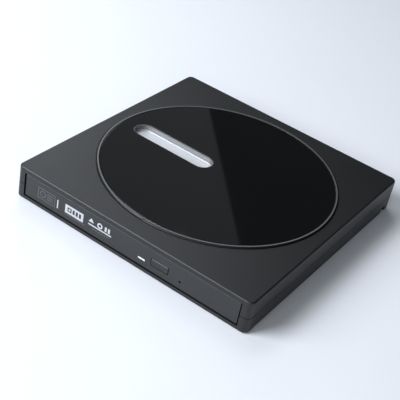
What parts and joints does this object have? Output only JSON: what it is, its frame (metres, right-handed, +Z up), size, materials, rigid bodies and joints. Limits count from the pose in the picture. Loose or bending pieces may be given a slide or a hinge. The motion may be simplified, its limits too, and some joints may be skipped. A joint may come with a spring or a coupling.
{
  "type": "external optical drive",
  "caption": "Flat two-part black case round a slim tray-loading disc drive, with a gloss disc in a raised rim, a brushed metal window, a telescoping disc tray and a pressable eject button.",
  "frame": {"origin": "bottom centre of the case, on the plane that the rubber feet stand on", "axes": "+X to the right seen from the front, +Y from the bezel towards the rear, +Z up"},
  "size_m": [0.14, 0.145, 0.0194],
  "materials": {
    "cover_plastic": "satin black moulded plastic with a fine spark texture",
    "gloss_black": "high-gloss black acrylic",
    "brushed_plate": "brushed across its short side",
    "bezel_plastic": "fine matt black plastic",
    "button_plastic": "matt black plastic",
    "light_plastic": "milky clear plastic",
    "foot_rubber": "matt black rubber",
    "screw_steel": "black-zinc screws",
    "board_green": "solder-masked glass-fibre board",
    "chip_black": "moulded chip packages",
    "connector_black": "black connector plastic",
    "plated_steel": "zinc-plated sheet steel",
    "polished_steel": "ground and polished steel",
    "tray_plastic": "matt black tray plastic",
    "hub_plastic": "dark glass-filled plastic",
    "claw_plastic": "white acetal",
    "copper": "enamelled copper winding on a stator",
    "magnet": "sintered magnet",
    "sled_metal": "die-cast zinc",
    "brass": "turned brass",
    "lens_glass": "coated lens",
    "flex_film": "amber polyimide ribbon",
    "spring_steel": "spring wire",
    "white_plastic": "natural acetal"
  },
  "bodies": {
    "case": {"top_cover": "cover_plastic", "bottom_cover": "cover_plastic", "gloss_disc": "gloss_black", "window_plate": "brushed_plate", "rubber_feet": "foot_rubber", "case_screws": "screw_steel", "bridge_board": "board_green", "bridge_chips": "chip_black", "bridge_screws": "screw_steel", "bridge_connector": "connector_black", "usb_socket": "plated_steel", "power_socket": "connector_black", "drive_base": "plated_steel", "drive_lid": "plated_steel", "outer_rails": "plated_steel", "main_board": "board_green", "main_chips": "chip_black", "drive_connector": "connector_black", "latch_post": "polished_steel", "eject_pusher": "white_plastic", "eject_spring": "spring_steel", "flex_cable": "flex_film"},
    "right_slide": {"right_slide_rail": "plated_steel"},
    "left_slide": {"left_slide_rail": "plated_steel"},
    "drawer": {"tray": "tray_plastic", "bezel": "bezel_plastic", "light_pipe": "light_plastic", "tray_board": "board_green", "eject_switch": "plated_steel", "status_led": "white_plastic", "tray_cover": "plated_steel", "tray_screws": "screw_steel", "traverse_deck": "plated_steel", "deck_dampers": "foot_rubber", "guide_shafts": "polished_steel", "shaft_holders": "connector_black", "spindle_base": "plated_steel", "spindle_coils": "copper", "sled_motor": "plated_steel", "latch_pivot": "polished_steel", "latch_solenoid": "plated_steel"},
    "button": {"eject_button": "button_plastic"},
    "rotor": {"turntable": "hub_plastic", "rotor_magnet": "magnet", "spindle_shaft": "polished_steel", "turntable_pad": "foot_rubber"},
    "claw_1": {"hub_claw_1": "claw_plastic"},
    "claw_2": {"hub_claw_2": "claw_plastic"},
    "claw_3": {"hub_claw_3": "claw_plastic"},
    "screw": {"lead_screw": "brass"},
    "sled": {"pickup_sled": "sled_metal", "sled_nut": "white_plastic", "lens_magnets": "magnet"},
    "lens_carrier": {"lens_holder": "connector_black", "lens": "lens_glass"},
    "slider": {"emergency_slider": "white_plastic"},
    "latch": {"latch_lever": "plated_steel", "latch_spring": "spring_steel"},
    "plunger": {"solenoid_plunger": "polished_steel"}
  },
  "joints": [
    {"name": "tray_slide", "type": "slide", "parent": "case", "child": "drawer", "axis": [0, -1, 0], "range_m": [0, 0.126], "deforming": ["flex_cable"]},
    {"name": "right_rail_slide", "type": "slide", "parent": "case", "child": "right_slide", "axis": [0, -1, 0], "range_m": [0, 0.063]},
    {"name": "left_rail_slide", "type": "slide", "parent": "case", "child": "left_slide", "axis": [0, -1, 0], "range_m": [0, 0.063]},
    {"name": "eject_button_press", "type": "slide", "parent": "drawer", "child": "button", "axis": [0, 1, 0], "range_m": [0, 0.0005], "stiffness_N_per_m": 400, "springref_m": -0.0005},
    {"name": "spindle_spin", "type": "hinge", "parent": "drawer", "child": "rotor", "pos_m": [0, -0.0065, 0.0118], "axis": [0, 0, 1], "continuous": true},
    {"name": "sled_travel", "type": "slide", "parent": "drawer", "child": "sled", "axis": [-0.7071, -0.7071, 0], "range_m": [0, 0.0345]},
    {"name": "lead_screw_turn", "type": "hinge", "parent": "drawer", "child": "screw", "pos_m": [-0.02843, -0.00636, 0.007], "axis": [-0.7071, -0.7071, 0], "range_deg": [0, 4150]},
    {"name": "lens_focus", "type": "slide", "parent": "sled", "child": "lens_carrier", "axis": [0, 0, 1], "range_m": [-0.0005, 0.0005], "stiffness_N_per_m": 30},
    {"name": "emergency_slide", "type": "slide", "parent": "drawer", "child": "slider", "axis": [0, 1, 0], "range_m": [0, 0.0022], "stiffness_N_per_m": 60, "springref_m": -0.002},
    {"name": "latch_swing", "type": "hinge", "parent": "drawer", "child": "latch", "pos_m": [0.049, -0.05, 0.0052], "axis": [0, 0, 1], "range_deg": [-8.5, 0]},
    {"name": "plunger_slide", "type": "slide", "parent": "drawer", "child": "plunger", "axis": [-1, 0, 0], "range_m": [0, 0.00125]},
    {"name": "claw_1_press", "type": "slide", "parent": "rotor", "child": "claw_1", "axis": [0, -1, 0], "range_m": [0, 0.0005], "stiffness_N_per_m": 30, "springref_m": -0.0004},
    {"name": "claw_2_press", "type": "slide", "parent": "rotor", "child": "claw_2", "axis": [0.866, 0.5, 0], "range_m": [0, 0.0005], "stiffness_N_per_m": 30, "springref_m": -0.0004},
    {"name": "claw_3_press", "type": "slide", "parent": "rotor", "child": "claw_3", "axis": [-0.866, 0.5, 0], "range_m": [0, 0.0005], "stiffness_N_per_m": 30, "springref_m": -0.0004}
  ],
  "couplings": [
    {"joint": "right_rail_slide", "follows": "tray_slide", "ratio": 0.5},
    {"joint": "left_rail_slide", "follows": "tray_slide", "ratio": 0.5},
    {"joint": "lead_screw_turn", "follows": "sled_travel", "rad_per_m": 2094.4},
    {"joint": "latch_swing", "follows": "emergency_slide", "rad_per_m": -66.64},
    {"joint": "plunger_slide", "follows": "emergency_slide", "ratio": 0.5455}
  ]
}
